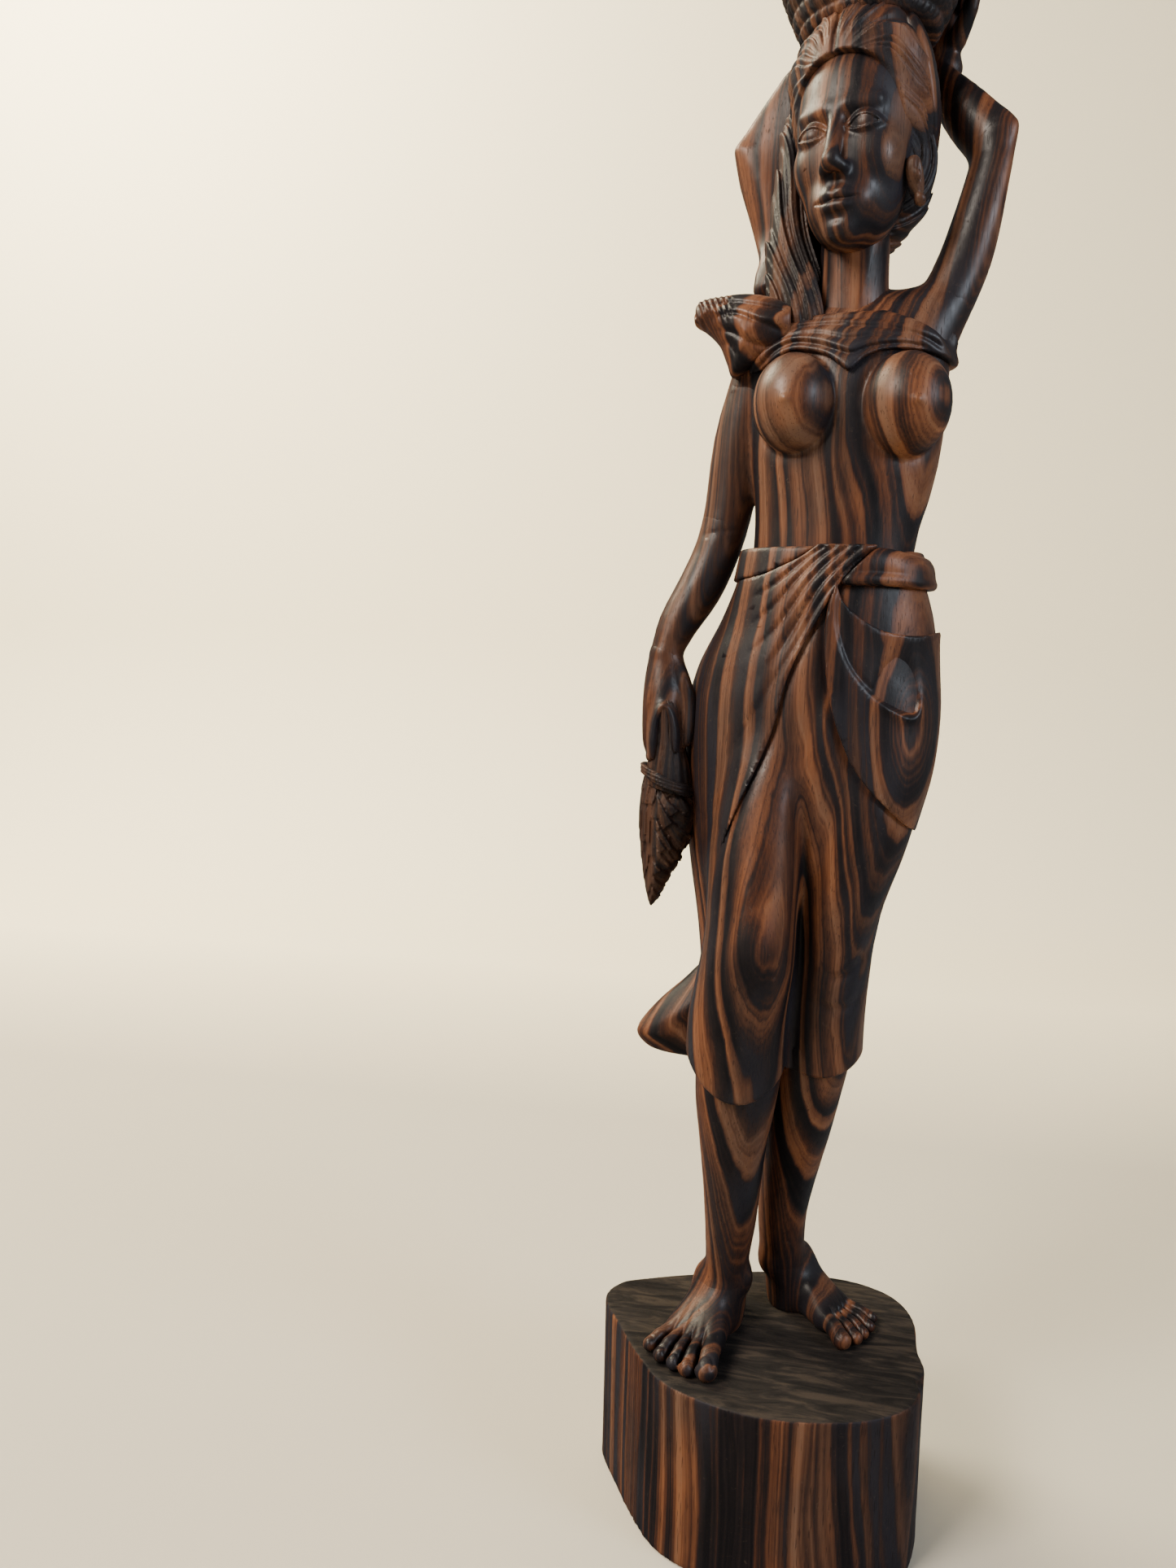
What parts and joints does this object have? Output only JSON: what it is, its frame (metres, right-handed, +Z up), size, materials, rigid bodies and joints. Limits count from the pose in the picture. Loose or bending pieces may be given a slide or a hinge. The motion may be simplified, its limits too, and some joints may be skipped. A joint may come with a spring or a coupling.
{
  "type": "carved wooden figure",
  "caption": "Standing woman carved from one striped ebony log, with a basket on the head, one arm raised to it, a rice sheaf in the other hand and a log base.",
  "frame": {"origin": "on the underside of the base, below the figure's middle", "axes": "+Z up along the figure, the figure faces -Y, its left hand is at +X"},
  "size_m": [0.1936, 0.1403, 0.877],
  "materials": {
    "polished_ebony": "satin, polished, striped",
    "carved_ebony": "tool-cut, matt",
    "log_ebony": "satin side, matt end grain"
  },
  "bodies": {
    "root": {"base": "log_ebony", "right_foot": "polished_ebony", "left_foot": "polished_ebony", "right_leg": "polished_ebony", "left_leg": "polished_ebony", "sarong": "polished_ebony", "sarong_overlap": "polished_ebony", "sarong_drape": "polished_ebony", "sarong_tail": "polished_ebony", "waistband": "polished_ebony", "torso": "polished_ebony", "shawl": "polished_ebony", "shawl_end": "polished_ebony", "neck": "polished_ebony", "head": "polished_ebony", "hair": "carved_ebony", "nape_roll": "carved_ebony", "hair_tress": "carved_ebony", "left_ear": "polished_ebony", "headcloth": "polished_ebony", "headcloth_fold": "polished_ebony", "right_upper_arm": "polished_ebony", "right_forearm": "polished_ebony", "right_hand": "polished_ebony", "sheaf_stalks": "carved_ebony", "sheaf_tie": "carved_ebony", "sheaf_ears": "carved_ebony", "left_upper_arm": "polished_ebony", "left_forearm": "polished_ebony", "left_hand": "polished_ebony", "basket": "carved_ebony", "basket_rim": "carved_ebony", "rice_heap": "carved_ebony"}
  },
  "joints": []
}
